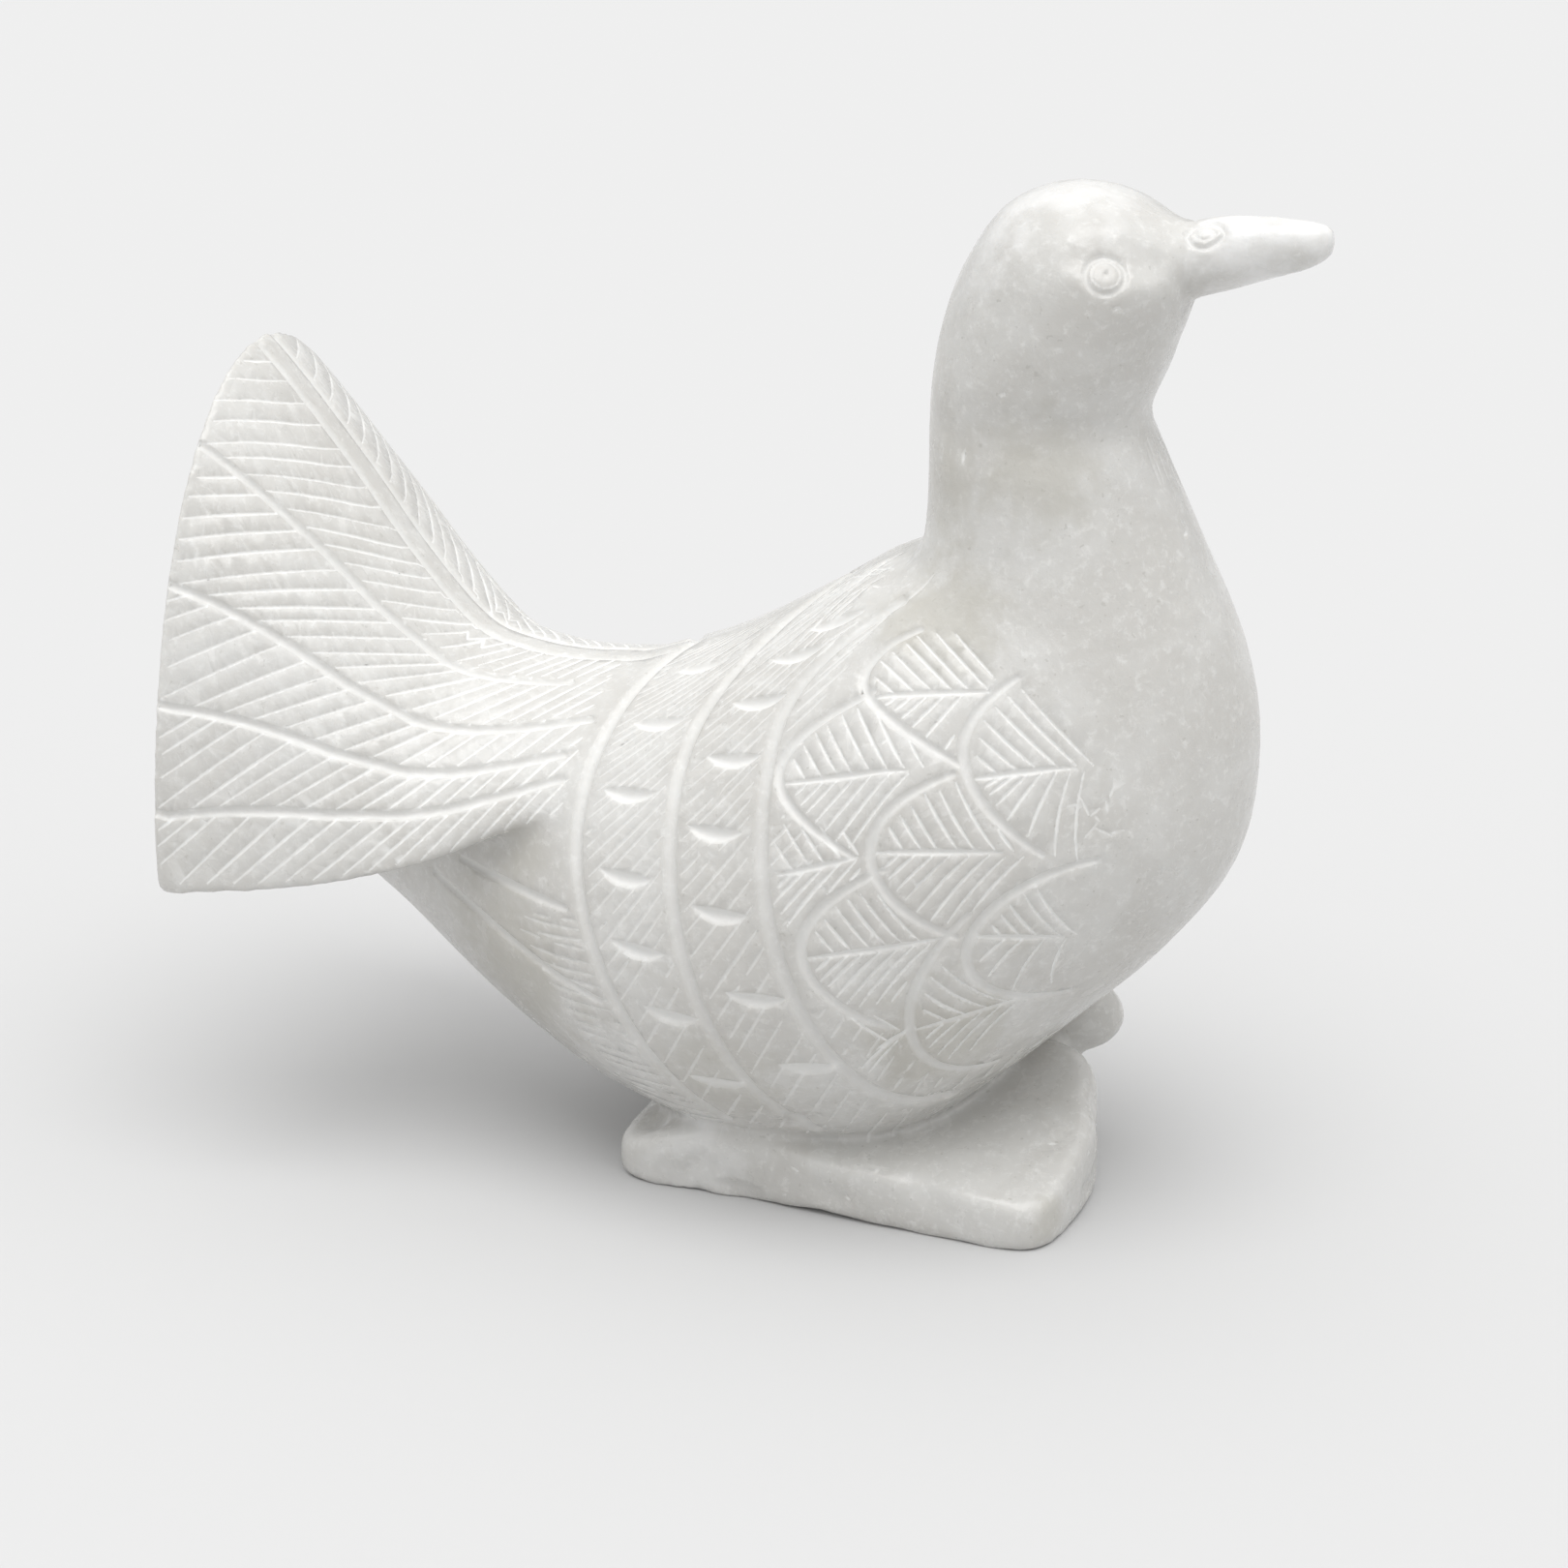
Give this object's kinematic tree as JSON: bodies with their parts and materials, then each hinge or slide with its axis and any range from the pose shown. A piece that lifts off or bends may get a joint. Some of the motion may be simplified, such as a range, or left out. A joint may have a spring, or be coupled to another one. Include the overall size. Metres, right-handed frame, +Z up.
{
  "type": "dove statue",
  "caption": "Carved marble dove with a raised arched fan tail and a long straight beak, sitting on the rough rock foot it is cut from.",
  "frame": {"origin": "on the underside of the rock foot, under the middle of the foot, in the bird's middle plane", "axes": "+X along the bird from tail to beak, +Y to the bird's left, +Z up"},
  "size_m": [0.4225, 0.213, 0.3904],
  "materials": {
    "marble": "polished white marble, rougher and whiter in the cuts"
  },
  "bodies": {
    "root": {"dove": "marble"}
  },
  "joints": []
}
